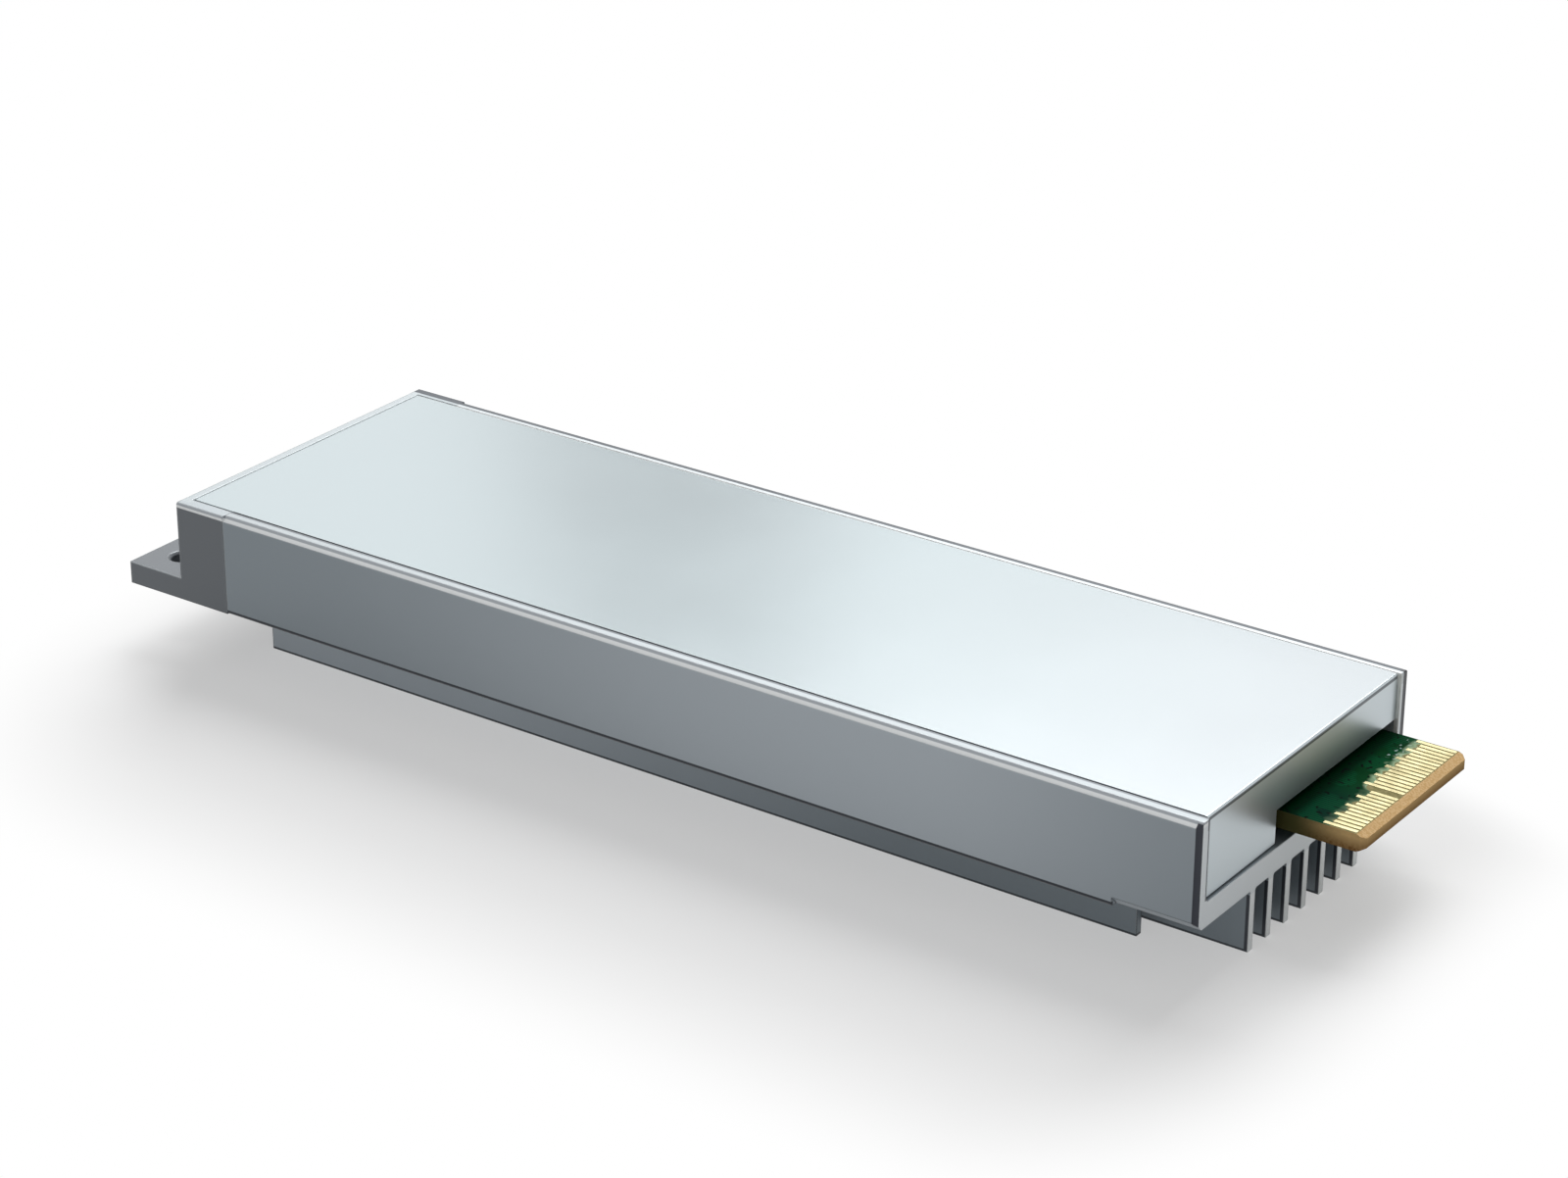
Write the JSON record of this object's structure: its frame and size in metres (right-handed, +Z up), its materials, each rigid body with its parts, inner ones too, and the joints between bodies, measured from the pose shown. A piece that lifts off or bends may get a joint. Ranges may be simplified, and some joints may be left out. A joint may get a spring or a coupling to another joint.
{
  "type": "ruler ssd module",
  "caption": "Flat solid-state drive module in a finned aluminium case, with a gold card edge at one end and a drilled mounting tab at the other.",
  "frame": {"origin": "middle of the bounding box, on the plane of the fin tips", "axes": "+X along the module from the mounting tab to the card edge, +Y across it, +Z up from the fin tips to the cover"},
  "size_m": [0.1188, 0.0338, 0.015],
  "materials": {
    "tray_metal": "fine blasted, clear anodised",
    "cover_metal": "fine blasted, clear anodised",
    "bracket_metal": "fine blasted, clear anodised",
    "board_laminate": "green solder mask, tan bare edge",
    "contact_gold": "gold plated",
    "chip_mould": "matte moulding compound",
    "pad_silicone": "soft matte",
    "capacitor_mould": "satin",
    "inductor_ferrite": "matte",
    "ceramic_body": "satin",
    "screw_steel": "plain turned",
    "light_guide": "clear moulded",
    "led_body": "satin",
    "crystal_can": "plated lid"
  },
  "bodies": {
    "root": {"boot_flash": "chip_mould", "bracket_screws": "screw_steel", "ceramic_capacitors": "ceramic_body", "circuit_board": "board_laminate", "clock_crystal": "crystal_can", "contact_fingers_bottom": "contact_gold", "contact_fingers_top": "contact_gold", "controller_chip": "chip_mould", "controller_pad": "pad_silicone", "cover_screws": "screw_steel", "dram_chip_1": "chip_mould", "dram_chip_2": "chip_mould", "end_bracket": "bracket_metal", "heatsink_tray": "tray_metal", "holdup_capacitor_1": "capacitor_mould", "holdup_capacitor_2": "capacitor_mould", "holdup_capacitor_3": "capacitor_mould", "holdup_capacitor_4": "capacitor_mould", "holdup_capacitor_5": "capacitor_mould", "holdup_capacitor_6": "capacitor_mould", "holdup_capacitor_7": "capacitor_mould", "holdup_capacitor_8": "capacitor_mould", "light_pipe": "light_guide", "nand_bottom_1": "chip_mould", "nand_bottom_2": "chip_mould", "nand_bottom_3": "chip_mould", "nand_bottom_4": "chip_mould", "nand_top_1": "chip_mould", "nand_top_2": "chip_mould", "nand_top_3": "chip_mould", "nand_top_4": "chip_mould", "power_chip": "chip_mould", "power_inductor_1": "inductor_ferrite", "power_inductor_2": "inductor_ferrite", "power_inductor_3": "inductor_ferrite", "status_led_1": "led_body", "status_led_2": "led_body", "thermal_pad_lower": "pad_silicone", "thermal_pad_upper": "pad_silicone", "top_cover": "cover_metal"}
  },
  "joints": []
}
